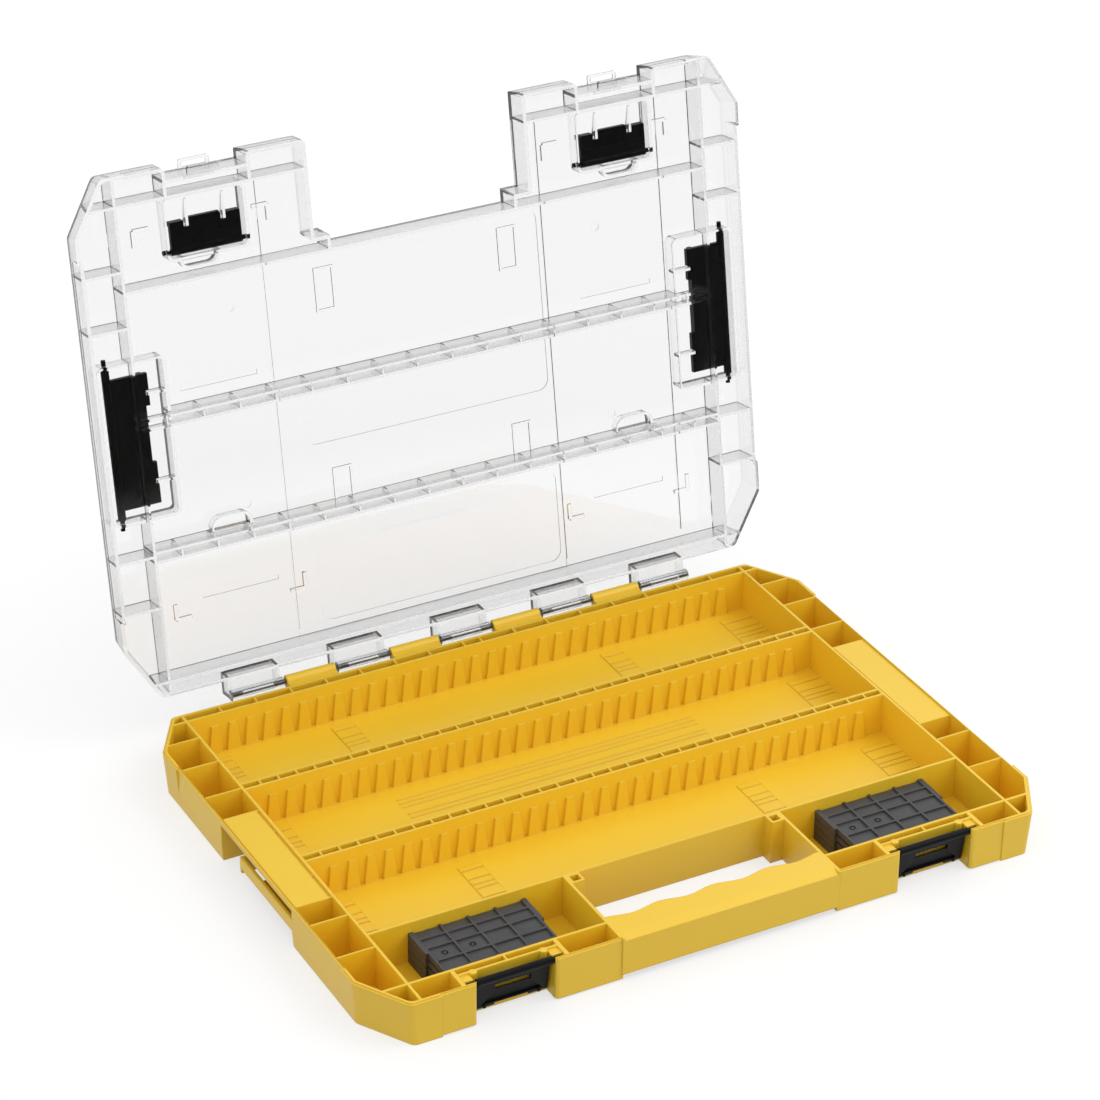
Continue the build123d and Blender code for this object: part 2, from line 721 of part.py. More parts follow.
def lid_ribs(plan):
    # Plan of the ribs under the lid's panel, which stand over the tray's walls.
    ribs = [rect(-half, half, back_wall_y - lid_rib / 2, back_wall_y + lid_rib / 2)]
    rib_y = front_zone + lid_rib / 2
    ribs.append(rect(-end_wall_x, end_wall_x, rib_y - lid_rib / 2, rib_y + lid_rib / 2))
    for front, rear in divider_wall_ys:
        ribs.append(rect(-end_wall_x, end_wall_x, front - lid_rib / 2, front + lid_rib / 2))
        ribs.append(rect(-end_wall_x, end_wall_x, rear - lid_rib / 2, rear + lid_rib / 2))
        for x in web_places(lid_rib_web_pitch / 2, lid_rib_web_pitch, end_wall_x):
            ribs += both_sides([rect(x - web_thickness / 2, x + web_thickness / 2, front, rear)])
    end_rib = rect(end_wall_x - lid_rib / 2, end_wall_x + lid_rib / 2, bite, tray_depth - bite)
    front_rib = rect(handle_half_length, half, front_gap - lid_rib / 2, front_gap + lid_rib / 2)
    block_ribs = [rect(lid_latch_gap_inner - lid_wall, lid_latch_gap_inner, 0, front_gap)]
    block_ribs.append(rect(lid_latch_gap_outer, lid_latch_gap_outer + lid_wall, 0, front_gap))
    ribs += both_sides([end_rib, front_rib] + block_ribs)
    cross_ys = [tray_depth - place for place in pocket_wall_from_back[1:]]
    cross_ys += list(pocket_wall_from_front)
    for y in cross_ys:
        ribs += both_sides([rect(end_wall_x, half, y - lid_rib / 2, y + lid_rib / 2)])
    return Sketch() + ribs & plan


def pocket_plans():
    # Inner plans of the right-hand connector pockets: front first, then side.
    front = rect(front_pocket_x0, front_pocket_x1, front_pocket_y0, front_pocket_y1)
    side = rect(side_pocket_x0, side_pocket_x1, side_pocket_y0, side_pocket_y1)
    return fillet(front.vertices(), pocket_corner), fillet(side.vertices(), pocket_corner)


def d_shape(x0, x1, y0, y1):
    # A plan with two rounded corners towards y1.
    shape = rect(x0, x1, y0, y1)
    far = shape.vertices().sort_by(Axis.Y)[-2:]
    return fillet(far, (y1 - y0) * scoop_rounding)


def scoop_plans():
    # Finger scoops beside the front pocket and over the rib between the first two rows.
    middle = (front_pocket_x0 + front_pocket_x1) / 2 + scoop_shift
    front_edge = front_pocket_y1 + pocket_wall
    front = d_shape(middle - scoop_width / 2, middle + scoop_width / 2,
                    front_edge - past, front_edge + scoop_reach)
    loop_y = divider_wall_ys[0][0]
    loop = rect(loop_x0, loop_x1, loop_y - loop_reach, loop_y)
    near = loop.vertices().sort_by(Axis.Y)[:2]
    return front, fillet(near, loop_reach * scoop_rounding)


def knuckles():
    # Hooks that wrap the rod, each on a square channel arm from the lid's back wall.
    root_y = tray_depth - lid_back_draft
    arm_top = hinge_z + knuckle_height
    hollow_low = hinge_z + knuckle_hollow_above_axis
    outer = [
        (root_y, lid_bottom),
        (root_y, arm_top),
        (hinge_y + knuckle_neck, arm_top),
        (hinge_y + knuckle_neck, hinge_z),
        (hinge_y - knuckle_neck, hinge_z),
        (hinge_y - knuckle_neck, lid_bottom),
    ]
    inner = [
        (tray_depth, lid_bottom - past),
        (tray_depth, arm_top - knuckle_skin),
        (hinge_y + knuckle_neck - knuckle_skin, arm_top - knuckle_skin),
        (hinge_y + knuckle_neck - knuckle_skin, hollow_low),
        (hinge_y - knuckle_neck - past, hollow_low),
    ]
    eye = Pos(hinge_y, hinge_z) * Circle(knuckle_radius)
    bore = Pos(hinge_y, hinge_z) * Circle(rod_radius + rod_clearance)
    cheek_profile = Polygon(*outer, align=None) + eye - bore
    arm_profile = cheek_profile - (Polygon(*inner, align=None) - eye)
    pieces = []
    for x in hinge_centres(barrel_count + 1):
        x0 = x - knuckle_length / 2
        x1 = x + knuckle_length / 2
        knuckle = profile_x(arm_profile, x0, x1)
        knuckle += profile_x(cheek_profile, x0, x0 + knuckle_cheek)
        knuckle += profile_x(cheek_profile, x1 - knuckle_cheek, x1)
        knuckle -= slab(x0 + knuckle_ring, x1 - knuckle_ring, hinge_y - knuckle_mouth_half,
                        hinge_y + knuckle_mouth_half, hinge_z - knuckle_radius - past, hinge_z)
        pieces.append(knuckle)
    return pieces


def lid_face_marks():
    # Shallow steps, grooves and nesting bosses of the lid's outer face: what is cut and what is added.
    low = lid_top - face_step
    field = rect(-field_left, field_right, front_zone + field_front_margin,
                 tray_depth - field_back_margin)
    upper = rect(-field_panel_half, field_panel_half, front_zone + field_panel_front_margin,
                 field_panel_back)
    upper = fillet(upper.vertices(), field_panel_radius)
    lower = rect(-field_panel_half, field_panel_half, lower_panel_start, lower_panel_end)
    lower = fillet(lower.vertices(), field_panel_radius)
    cuts = [raise_plan(field, low, lid_top + past)]
    cuts.append(raise_plan(upper, low - face_step, lid_top))
    cuts.append(raise_plan(lower, low - face_step, lid_top))
    line_y0 = front_gap + field_line_front_margin
    line_y1 = tray_depth - field_line_back_margin
    for x in (-field_left, field_right, field_line_x):
        line = rect(x - field_line_width / 2, x + field_line_width / 2, line_y0, line_y1)
        cuts.append(raise_plan(line, low - face_step, lid_top + past))
    for x, y in mark_places:
        mark = Pos(x, y) * Circle(mark_radius)
        cuts += both_sides([raise_plan(mark, panel_underside - past, panel_underside + mark_depth)])
    for y in groove_rows:
        groove = rect(groove_inner_x, groove_inner_x + groove_length, y - groove_half, y + groove_half)
        cuts += both_sides([raise_plan(groove, low, lid_top + past)])
    added = []
    for x in nest_x:
        for y in nest_y:
            x_arm = nest_arm if x == min(nest_x) else -nest_arm
            y_arm = nest_arm if y == min(nest_y) else -nest_arm
            arm_a = rect(min(x, x + x_arm), max(x, x + x_arm), y - nest_width / 2, y + nest_width / 2)
            arm_b = rect(x - nest_width / 2, x + nest_width / 2, min(y, y + y_arm), max(y, y + y_arm))
            added += both_sides([raise_plan(arm_a + arm_b, lid_top - bite, lid_top + nest_height)])
    for y in foot_y_starts:
        foot = rect(foot_x0, foot_x1, y, y + foot_length)
        frame = foot - offset(foot, amount=-foot_line)
        foot_low = panel_underside - foot_height
        added += both_sides([raise_plan(frame, foot_low, panel_underside + bite)])
    return cuts, added


def pocket_guides():
    # Thin upright fins in the pockets that stand in the connectors' notches.
    fins = []
    low = pocket_floor_z - bite
    high = pocket_floor_z + guide_height
    flap_x0 = front_pocket_x0 + front_flap_gap
    flap_x1 = front_pocket_x1 - front_flap_gap
    fin_y0 = front_pocket_y0 + guide_start
    fin_y1 = front_flap_free_y + flap_notch_depth - guide_end_gap
    fin = [(fin_y0, low), (fin_y0, pocket_floor_z + guide_low_height), (fin_y1, high), (fin_y1, low)]
    for x in (flap_x0 + flap_notch_inset, flap_x1 - flap_notch_inset):
        fins.append(along_x(fin, x - guide_thickness / 2, x + guide_thickness / 2))
    for y in side_notch_places():
        fins.append(slab(side_pocket_x0 - bite, side_flap_free_x + side_notch_depth - side_guide_end_gap,
                         y - guide_thickness / 2, y + guide_thickness / 2, low, high))
    return fins


def side_notch_places():
    # Where the side connector's two free-edge notches lie along its length.
    body_y0 = side_pocket_y0 + side_flap_gap + side_flap_arm
    body_y1 = side_pocket_y1 - side_flap_gap - side_flap_arm
    return body_y0 + side_notch_front, body_y1 - side_notch_back


def make_lid():
    # The clear lid, drawn closed: panel, rim, ribs, connector pockets, tongues and knuckles.
    plan = lid_outline()
    form = drafted(lid_bottom, lid_top, lid_side_draft, lid_front_draft, lid_back_draft)
    core = drafted(lid_bottom, lid_top, lid_side_draft, lid_front_draft, lid_back_draft, lid_wall)
    rim = plan - offset(plan, amount=-lid_wall)
    lid = raise_plan(plan, panel_underside, lid_top)
    lid += raise_plan(Sketch() + [rim, lid_ribs(plan)], lid_bottom, panel_underside + bite)
    lid += raise_plan(plan, lid_bottom, panel_underside + bite) - core
    lid = lid & form
    shell_top = panel_underside + bite
    front, side = pocket_plans()
    for pocket in (front, side):
        shell = offset(pocket, amount=pocket_wall) & plan
        lid += both_sides([raise_plan(shell, pocket_floor_z - pocket_floor, shell_top)])
    scoop_floor = lid_top - scoop_depth
    for scoop in scoop_plans():
        shell = offset(scoop, amount=pocket_wall)
        lid += both_sides([raise_plan(shell, scoop_floor - pocket_floor, shell_top)])
    cuts, added = lid_face_marks()
    lid = lid - cuts + added
    hollows = [raise_plan(pocket, pocket_floor_z, lid_top + past) for pocket in (front, side)]
    hollows += [raise_plan(scoop, scoop_floor, lid_top + past) for scoop in scoop_plans()]
    hole = flap_pin_radius + flap_pin_clearance
    hollows.append(rod_x(hole, front_pocket_x0 - pin_hole_reach, front_pocket_x1 + pin_hole_reach,
                         front_flap_pivot_y, flap_pivot_z))
    hollows.append(rod_y(hole, side_pocket_y0 - pin_hole_reach, side_pocket_y1 + pin_hole_reach,
                         side_flap_pivot_x, flap_pivot_z))
    lid = lid - both_sides(hollows) + both_sides(pocket_guides())
    tongue_z = lid_bottom + tongue_above_edge
    tongue = rect(latch_centre_x - tongue_width / 2, latch_centre_x + tongue_width / 2,
                  tongue_tip_y, lid_latch_wall_y + bite)
    tips = tongue.vertices().sort_by(Axis.Y)[:2]
    tongue = fillet(tips, tongue_corner)
    lid += both_sides([raise_plan(tongue, tongue_z, tongue_z + tongue_thickness)])
    return lid + knuckles()


def make_front_connector():
    # The right-hand front connector, lying shut in its pocket with its pivot towards the hinge.
    x0 = front_pocket_x0 + front_flap_gap
    x1 = front_pocket_x1 - front_flap_gap
    free_y = front_flap_free_y
    low = flap_pivot_z - flap_thickness / 2
    high = flap_pivot_z + flap_thickness / 2
    hook_top = high + flap_hook_height
    flap = slab(x0, x1, free_y, front_flap_pivot_y, low, high)
    flap += rod_x(flap_pivot_radius, x0, x1, front_flap_pivot_y, flap_pivot_z)
    flap += rod_x(flap_pin_radius, front_pocket_x0 - front_flap_pin_reach,
                  front_pocket_x1 + front_flap_pin_reach, front_flap_pivot_y, flap_pivot_z)
    flap += slab(x0, x1, free_y, free_y + flap_hook_width, low, hook_top)
    middle = (x0 + x1) / 2
    flap += slab(middle - flap_tab_half, middle + flap_tab_half, free_y - flap_tab_reach, free_y + bite,
                 low, high)
    for x in (x0 + flap_notch_inset, x1 - flap_notch_inset):
        flap -= slab(x - flap_notch_width / 2, x + flap_notch_width / 2, free_y - past,
                     free_y + flap_notch_depth, low - past, hook_top + past)
    near = free_y + small_panel_near
    far = free_y + small_panel_far
    for x in (x0 + small_panel_inset, x1 - small_panel_inset - small_panel_width):
        flap -= slab(x, x + small_panel_width, near, far, low - past, low + flap_panel_depth)
    flap -= slab(x0 + middle_panel_inset, x1 - middle_panel_inset, free_y + middle_panel_near,
                 free_y + middle_panel_far, low - past, low + flap_panel_depth)
    return flap


def make_side_connector():
    # The right-hand side connector, lying shut in its pocket with its pivot towards the outside.
    y0 = side_pocket_y0 + side_flap_gap
    y1 = side_pocket_y1 - side_flap_gap
    free_x = side_flap_free_x
    low = flap_pivot_z - flap_thickness / 2
    high = flap_pivot_z + flap_thickness / 2
    hook_top = high + flap_hook_height
    body_y0 = y0 + side_flap_arm
    body_y1 = y1 - side_flap_arm
    flap = slab(free_x, side_flap_pivot_x, body_y0, body_y1, low, high)
    flap += rod_y(flap_pivot_radius, y0, y1, side_flap_pivot_x, flap_pivot_z)
    flap += rod_y(flap_pin_radius, side_pocket_y0 - side_flap_pin_reach,
                  side_pocket_y1 + side_flap_pin_reach, side_flap_pivot_x, flap_pivot_z)
    hook_x = free_x + side_step_depth
    flap -= slab(free_x - past, hook_x, body_y0 + side_step_front, body_y1 - side_step_back,
                 low - past, high + past)
    for y in side_notch_places():
        flap -= slab(free_x - past, free_x + side_notch_depth, y - flap_notch_width / 2,
                     y + flap_notch_width / 2, low - past, hook_top + past)
    flap += slab(hook_x, hook_x + flap_hook_width, body_y0, body_y1, low, hook_top)
    ring = Cylinder(disc_radius, 2 * disc_depth) - Cylinder(disc_radius - disc_line, 2 * disc_depth)
    for y in (body_y0 + disc_front, body_y1 - disc_back):
        flap -= Pos(side_flap_pivot_x - disc_inset, y, low) * ring
    return flap


def make_divider():
    # One loose divider lying flat: a web with a raised grid, rims underneath and two end tabs.
    x0 = compartment_centre_x - divider_length / 2
    x1 = compartment_centre_x + divider_length / 2
    y1 = stack_rear_y
    y0 = y1 - divider_width
    divider = slab(x0, x1, y0, y1, divider_under, divider_under + divider_web)
    ribs = []
    column = (divider_length - divider_rib) / divider_columns
    for k in range(divider_columns + 1):
        rib_x0 = x0 + k * column
        ribs.append(slab(rib_x0, rib_x0 + divider_rib, y0, y1, divider_under, divider_height))
    for step in divider_row_lines:
        rib_y = y1 - step
        ribs.append(slab(x0, x1, rib_y - divider_rib / 2, rib_y + divider_rib / 2,
                         divider_under, divider_height))
    ribs.append(slab(x0, x1, y1 - divider_rib, y1, 0, divider_height - divider_rib))
    ribs.append(slab(x0, x1, y0, y0 + divider_rib, 0, divider_height))
    tab_y = y1 - divider_tab_length
    ribs.append(slab(x0 - divider_tab_reach, x0 + divider_rib, tab_y, y1, 0, divider_height))
    ribs.append(slab(x1 - divider_rib, x1 + divider_tab_reach, tab_y, y1, 0, divider_height))
    return divider + ribs


def save(shape, name):
    # Writes one piece, moved so that the tray's centre is the origin.
    export_step(to_centre * shape, "parts/" + name + ".step")


def save_pair(shape, name):
    # Writes the right-hand piece and its mirror image on the left.
    save(shape, name + "_right")
    save(mirror(shape, about=Plane.YZ), name + "_left")


def opened(shape):
    # Swings a piece of the lid from closed to fully open.
    return shape.rotate(hinge_axis, -lid_open_angle)


save(make_tray(), "base_tray")
save(make_rod(), "hinge_rod")
save_pair(make_latch(), "latch")
save(opened(make_lid()), "lid")
save_pair(opened(make_front_connector()), "front_connector")
save_pair(opened(make_side_connector()), "side_connector")
divider = make_divider()
for level in range(dividers_per_stack):
    lift = floor_thickness + divider_gap + level * (divider_height + divider_gap)
    right = Pos(0, 0, lift) * divider
    save(right, "divider_right_" + str(level + 1))
    save(mirror(right, about=Plane.YZ), "divider_left_" + str(level + 1))
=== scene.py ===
# %% [markdown]
# A flat compartment storage box, open as for use: a yellow moulded tray, a clear lid standing behind it,
# black latches and connectors, a steel hinge rod and two stacks of charcoal dividers.
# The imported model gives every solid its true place. This lesson dresses those solids with finishes,
# adds a few small pieces that ride on them, and sets up the studio and the camera.

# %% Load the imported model
import math

import bmesh
import bpy
from mathutils import Matrix, Vector


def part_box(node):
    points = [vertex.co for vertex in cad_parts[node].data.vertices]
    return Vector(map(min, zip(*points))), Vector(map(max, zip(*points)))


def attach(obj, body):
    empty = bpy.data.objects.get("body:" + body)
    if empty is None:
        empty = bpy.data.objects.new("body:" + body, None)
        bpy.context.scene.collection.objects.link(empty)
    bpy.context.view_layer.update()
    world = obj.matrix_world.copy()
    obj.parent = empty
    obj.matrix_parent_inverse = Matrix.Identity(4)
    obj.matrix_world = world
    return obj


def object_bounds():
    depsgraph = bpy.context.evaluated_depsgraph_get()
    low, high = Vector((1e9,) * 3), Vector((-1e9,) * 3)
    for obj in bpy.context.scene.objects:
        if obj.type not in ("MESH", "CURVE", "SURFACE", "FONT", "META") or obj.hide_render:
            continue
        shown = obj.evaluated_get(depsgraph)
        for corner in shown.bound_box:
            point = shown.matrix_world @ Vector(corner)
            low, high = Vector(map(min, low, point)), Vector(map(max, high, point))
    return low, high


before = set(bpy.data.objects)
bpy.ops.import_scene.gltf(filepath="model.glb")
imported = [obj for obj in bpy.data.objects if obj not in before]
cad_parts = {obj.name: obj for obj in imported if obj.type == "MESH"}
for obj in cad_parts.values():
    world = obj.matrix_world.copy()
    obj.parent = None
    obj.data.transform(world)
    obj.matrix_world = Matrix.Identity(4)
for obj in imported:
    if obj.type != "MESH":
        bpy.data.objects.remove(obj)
solid_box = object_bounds()
print("packed model box", [[round(v, 4) for v in corner] for corner in solid_box])

# %% [markdown]
# Shader maths reads best as plain Python. A Value wraps one output socket of a material's node tree, so
# that writing 1 - mask or noise * 0.2 adds the Math node for it. Every other node comes from one method,
# which sets the node's own options first and then its sockets. This keeps each finish below to a few
# lines that say what the surface does, in place of a page of wiring.

# %% A small language for finishes
class Value:
    """A number that changes over a surface."""

    def __init__(self, finish, socket):
        self.finish = finish
        self.socket = socket

    def math(self, operation, first, second):
        return self.finish.math(operation, first, second)

    def __add__(self, other):
        return self.math("ADD", self, other)

    __radd__ = __add__

    def __sub__(self, other):
        return self.math("SUBTRACT", self, other)

    def __rsub__(self, other):
        return self.math("SUBTRACT", other, self)

    def __mul__(self, other):
        return self.math("MULTIPLY", self, other)

    __rmul__ = __mul__

    def __gt__(self, other):
        return self.math("GREATER_THAN", self, other)

    def __lt__(self, other):
        return self.math("LESS_THAN", self, other)


class Finish:
    """One material: its name, its node tree and its main shader."""

    def __init__(self, name, **constants):
        self.material = bpy.data.materials.new(name)
        self.material.use_nodes = True
        self.tree = self.material.node_tree
        self.shader = self.tree.nodes["Principled BSDF"]
        self.set(**constants)

    def node(self, kind, settings=None, inputs=None):
        """A new node, its options set first and its sockets then given numbers or links."""
        made = self.tree.nodes.new(kind)
        for name, setting in (settings or {}).items():
            setattr(made, name, setting)
        for key, given in (inputs or {}).items():
            self.feed(made.inputs[key], given)
        return made

    def feed(self, socket, given):
        if isinstance(given, Value):
            self.tree.links.new(given.socket, socket)
        else:
            socket.default_value = given

    def value(self, kind, settings=None, inputs=None, output=0):
        return Value(self, self.node(kind, settings, inputs).outputs[output])

    def math(self, operation, first, second):
        return self.value("ShaderNodeMath", {"operation": operation}, {0: first, 1: second})

    def set(self, **inputs):
        """Feeds the main shader's sockets, named with _ for each space."""
        for name, given in inputs.items():
            self.feed(self.shader.inputs[name.replace("_", " ")], given)


print("socket maths ready")

# %% [markdown]
# Every plastic here is built from object coordinates, soft blotches and fine grain. A moulding has no
# grain of its own. What the eye reads as plastic is a faint orange peel left by the tool's spark-eroded
# face, a slow drift in gloss, and edges that are never quite sharp. The Bevel node rounds the shading
# of every edge by a real radius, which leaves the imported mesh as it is.

# %% Helpers for moulded plastic
NOISE_ROUGHNESS = 0.5
BEVEL_SAMPLES = 4
MIX_FACTOR, MIX_FIRST, MIX_SECOND, MIX_RESULT = 0, 6, 7, 2


def places(finish):
    """Where a point of the surface is, in its own object's space."""
    return finish.value("ShaderNodeTexCoord", output="Object")


def noise(finish, size, detail, where=None):
    """Smooth noise whose features are about the given size in metres."""
    inputs = {"Scale": 1 / size, "Detail": detail, "Roughness": NOISE_ROUGHNESS}
    inputs["Vector"] = where or places(finish)
    return finish.value("ShaderNodeTexNoise", {"noise_dimensions": "3D"}, inputs)


def blend(finish, factor, first, second):
    """One colour turning into another."""
    inputs = {MIX_FACTOR: factor, MIX_FIRST: (*first, 1), MIX_SECOND: (*second, 1)}
    return finish.value("ShaderNodeMix", {"data_type": "RGBA"}, inputs, output=MIX_RESULT)


def rounded(finish, radius, height, distance):
    """The Normal of edges eased by a radius, with a fine bump on top."""
    softened = finish.value("ShaderNodeBevel", {"samples": BEVEL_SAMPLES}, {"Radius": radius})
    inputs = {"Height": height, "Normal": softened, "Strength": 1.0, "Distance": distance}
    return finish.value("ShaderNodeBump", None, inputs)


def wear(nodes, finish):
    """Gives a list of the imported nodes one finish."""
    for name in nodes:
        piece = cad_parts[name]
        piece.data.materials.clear()
        piece.data.materials.append(finish.material)


print("moulded plastic helpers ready")

# %% [markdown]
# The tray is an opaque, warm yellow plastic, filled so that light hardly enters it. A plain colour would
# look like paint, so a slow noise, with blotches the size of a thumb, moves it between two near yellows
# and moves the gloss with it. The fine peel only tilts the surface. The colours are written as they
# should render, because the studio's light is plain.

# %% Yellow tray plastic
TRAY_YELLOW = (0.870, 0.545, 0.014)
TRAY_PALE = (0.900, 0.600, 0.028)
TRAY_SPECULAR = 0.8
TRAY_ROUGHNESS = 0.36
TRAY_DULLER = 0.10
TRAY_DRIFT_SIZE = 0.06
TRAY_PEEL_SIZE = 0.0006
TRAY_PEEL_HEIGHT = 0.000010
TRAY_EDGE = 0.0007

tray_finish = Finish("tray_yellow", Specular_IOR_Level=TRAY_SPECULAR)
drift = noise(tray_finish, TRAY_DRIFT_SIZE, detail=3.0)
peel = noise(tray_finish, TRAY_PEEL_SIZE, detail=1.0)
tray_finish.set(Base_Color=blend(tray_finish, drift, TRAY_YELLOW, TRAY_PALE),
                Roughness=TRAY_ROUGHNESS + drift * TRAY_DULLER,
                Normal=rounded(tray_finish, TRAY_EDGE, peel, TRAY_PEEL_HEIGHT))
wear(["base_tray"], tray_finish)
print("tray finish on base_tray")

# %% [markdown]
# The lid is one clear moulding. The flat panel is polished. The ribs and rims that stand on it come from
# eroded slots in the tool, which leave their faces faintly hazy and rougher. They are also given a light
# grey colour, which is painted shade: it darkens them into the grey bands that clear ribs show under
# light. The two are told apart by how far a face turns away from the panel, measured in the lid's own
# space, which keeps the finish right when the lid swings.

# %% Clear lid plastic
CLEAR_PANEL = (0.945, 0.945, 0.945)
# The light grey of the rib faces is painted shade, not a colour of the plastic.
RIB_PAINTED_GREY = (0.885, 0.885, 0.89)
LID_IOR = 1.49
LID_LEAN = math.radians(10)
PANEL_ROUGHNESS = 0.02
RIB_ROUGHNESS = 0.16
PANEL_FACING = 0.8

lid_finish = Finish("lid_clear", Transmission_Weight=1.0, IOR=LID_IOR)
panel_out = (0, math.cos(LID_LEAN), -math.sin(LID_LEAN))
own_normal = lid_finish.value("ShaderNodeTexCoord", output="Normal")
facing = lid_finish.value("ShaderNodeVectorMath", {"operation": "DOT_PRODUCT"},
                          {0: own_normal, 1: panel_out}, output="Value")
rib = lid_finish.math("ABSOLUTE", facing, 0) < PANEL_FACING
# Rib faces get painted grey shade in their colour, and their real haze as a higher roughness.
lid_finish.set(Base_Color=blend(lid_finish, rib, CLEAR_PANEL, RIB_PAINTED_GREY),
               Roughness=PANEL_ROUGHNESS + rib * (RIB_ROUGHNESS - PANEL_ROUGHNESS))
wear(["lid"], lid_finish)
print("lid finish on lid")

# %% [markdown]
# Latches and connectors are near-black. Wear on such plastic is a change of gloss more than of colour,
# so one noise moves both by a little, and black stays black. The specular level is low, because the
# real parts mirror the studio only faintly.

# %% Black fittings
FITTING_BLACK = (0.003, 0.003, 0.003)
FITTING_WORN = (0.008, 0.008, 0.009)
FITTING_SPECULAR = 0.16
FITTING_ROUGHNESS = 0.30
FITTING_DULLER = 0.25
FITTING_RUB_SIZE = 0.012
FITTING_SPECK_SIZE = 0.0004
FITTING_SPECK_HEIGHT = 0.000012
FITTING_EDGE = 0.0003

fitting_finish = Finish("fitting_black", Specular_IOR_Level=FITTING_SPECULAR)
rub = noise(fitting_finish, FITTING_RUB_SIZE, detail=4.0)
speck = noise(fitting_finish, FITTING_SPECK_SIZE, detail=1.0)
fitting_finish.set(Base_Color=blend(fitting_finish, rub, FITTING_BLACK, FITTING_WORN),
                   Roughness=FITTING_ROUGHNESS + rub * FITTING_DULLER,
                   Normal=rounded(fitting_finish, FITTING_EDGE, speck, FITTING_SPECK_HEIGHT))
fittings = [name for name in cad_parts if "latch" in name or "connector" in name]
wear(fittings, fitting_finish)
print(len(fittings), "fittings dressed")

# %% [markdown]
# The dividers are charcoal with an eroded matt face, which throws the studio light back as a soft grey.
# The finish is built as the last one was. It is lighter and rougher, and its blotches are smaller,
# because an eroded face varies over a short distance.

# %% Charcoal dividers
DIVIDER_CHARCOAL = (0.085, 0.083, 0.085)
DIVIDER_DARK = (0.050, 0.049, 0.051)
DIVIDER_SPECULAR = 0.5
DIVIDER_ROUGHNESS = 0.48
DIVIDER_DULLER = 0.15
DIVIDER_CLOUD_SIZE = 0.010
DIVIDER_GRIT_SIZE = 0.0003
DIVIDER_GRIT_HEIGHT = 0.000015
DIVIDER_EDGE = 0.00025

divider_finish = Finish("divider_charcoal", Specular_IOR_Level=DIVIDER_SPECULAR)
cloud = noise(divider_finish, DIVIDER_CLOUD_SIZE, detail=4.0)
grit = noise(divider_finish, DIVIDER_GRIT_SIZE, detail=1.0)
divider_finish.set(Base_Color=blend(divider_finish, cloud, DIVIDER_DARK, DIVIDER_CHARCOAL),
                   Roughness=DIVIDER_ROUGHNESS + cloud * DIVIDER_DULLER,
                   Normal=rounded(divider_finish, DIVIDER_EDGE, grit, DIVIDER_GRIT_HEIGHT))
dividers = [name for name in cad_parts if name.startswith("divider")]
wear(dividers, divider_finish)
print(len(dividers), "dividers dressed")

# %% [markdown]
# The hinge rod is drawn steel wire. Drawing leaves fine scratches along its length, so the noise is
# stretched along X until it reads as streaks, and it moves only the roughness and a hair of bump.

# %% Steel hinge rod
ROD_STEEL = (0.30, 0.30, 0.31, 1)
ROD_ROUGHNESS = 0.22
ROD_DULLER = 0.20
STREAK_SIZE = 0.0004
STREAK_STRETCH = (0.03, 1.0, 1.0)
STREAK_HEIGHT = 0.000004
ROD_EDGE = 0.0001

rod_finish = Finish("rod_steel", Base_Color=ROD_STEEL, Metallic=1.0)
stretched = rod_finish.value("ShaderNodeMapping", None,
                             {"Vector": places(rod_finish), "Scale": STREAK_STRETCH})
streaks = noise(rod_finish, STREAK_SIZE, detail=2.0, where=stretched)
rod_finish.set(Roughness=ROD_ROUGHNESS + streaks * ROD_DULLER,
               Normal=rounded(rod_finish, ROD_EDGE, streaks, STREAK_HEIGHT))
wear(["hinge_rod"], rod_finish)
print("rod finish on hinge_rod")

# %% [markdown]
# A moulding tool leaves small round marks, such as the rings round its inserts. Two cells of each top
# divider carry such a ring on the real box. It could be a bump in the material, but the exported mesh
# would lose a bump, so each ring is a piece: a short profile turned about an upright axis, which bmesh
# spins in one call. Its foot lies a little under the face of the cell, so that no gap shows below it.

# %% Tool rings on the top dividers
MM = 0.001
RING_PROFILE = ((0.0, 0.10), (0.75, 0.10), (0.95, 0.0), (1.55, 0.0),
                (1.70, 0.16), (2.05, 0.16), (2.2, -0.1))
RING_STEPS = 40
RING_WELD = 0.002 * MM
RINGS_PER_DIVIDER = 2
WEB_TOP = 2.8 * MM
RIB_WIDTH = 1.2 * MM
TAB_REACH = 1.4 * MM
COLUMNS = 4
TOP_DIVIDER = 4
RING_FROM_REAR = 20.15 * MM


def new_piece(name, shape):
    """Turns a bmesh into an object of the scene."""
    bmesh.ops.recalc_face_normals(shape, faces=shape.faces)
    mesh = bpy.data.meshes.new(name)
    shape.to_mesh(mesh)
    shape.free()
    made = bpy.data.objects.new(name, mesh)
    bpy.context.collection.objects.link(made)
    return made


def turned(name, profile, place):
    """A piece made by turning a profile of (radius, height) in millimetres about an upright axis."""
    shape = bmesh.new()
    line = [shape.verts.new((radius * MM, 0, height * MM)) for radius, height in profile]
    line.append(shape.verts.new((0, 0, profile[-1][1] * MM)))
    edges = [shape.edges.new(pair) for pair in zip(line, line[1:])]
    bmesh.ops.spin(shape, geom=line + edges, cent=(0, 0, 0), axis=(0, 0, 1),
                   angle=2 * math.pi, steps=RING_STEPS)
    bmesh.ops.remove_doubles(shape, verts=shape.verts, dist=RING_WELD)
    for face in shape.faces:
        face.smooth = True
    made = new_piece(name, shape)
    made.location = place
    return made


